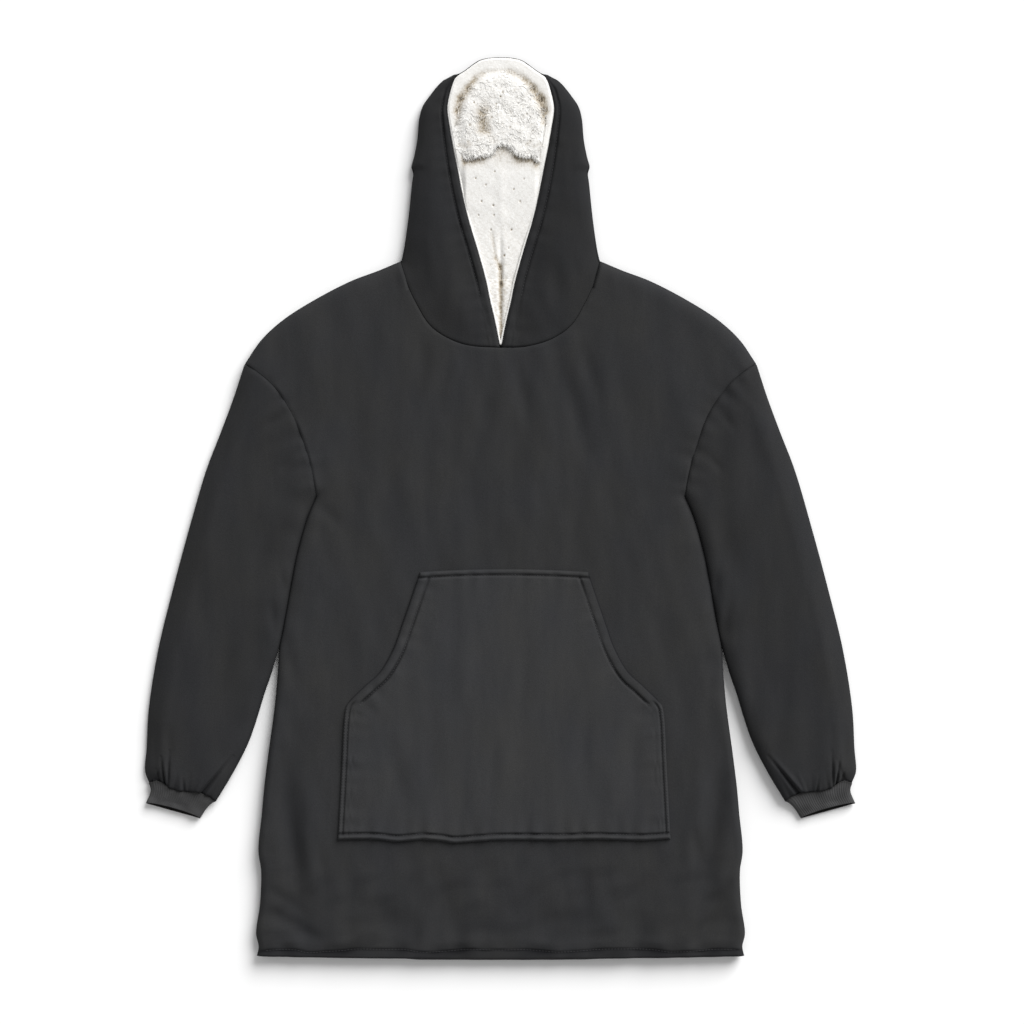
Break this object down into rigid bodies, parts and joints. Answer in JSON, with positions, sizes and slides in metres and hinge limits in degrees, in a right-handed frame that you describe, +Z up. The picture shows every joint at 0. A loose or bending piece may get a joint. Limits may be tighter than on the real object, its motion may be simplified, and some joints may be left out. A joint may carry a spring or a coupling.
{
  "type": "wearable blanket hoodie",
  "caption": "Oversized pullover hoodie of plush charcoal cloth with a cream sherpa lining, rib cuffs and one large front pocket, laid flat on its back.",
  "frame": {"origin": "middle of the garment's outline, on the surface that it lies on", "axes": "+X to the wearer's left, +Y from the hem to the hood, +Z up out of the surface that it lies on"},
  "size_m": [0.9766, 1.236, 0.0268],
  "materials": {
    "plush": "brushed charcoal fleece with a soft short nap",
    "rib": "charcoal rib knit",
    "sherpa": "cream sherpa pile"
  },
  "bodies": {
    "root": {"body_front": "plush", "body_back": "plush", "sleeve_left": "plush", "sleeve_right": "plush", "pocket": "plush", "hood_left": "plush", "hood_right": "plush", "cuff_left": "rib", "cuff_right": "rib", "hood_lining": "sherpa", "back_lining": "sherpa"}
  },
  "joints": []
}
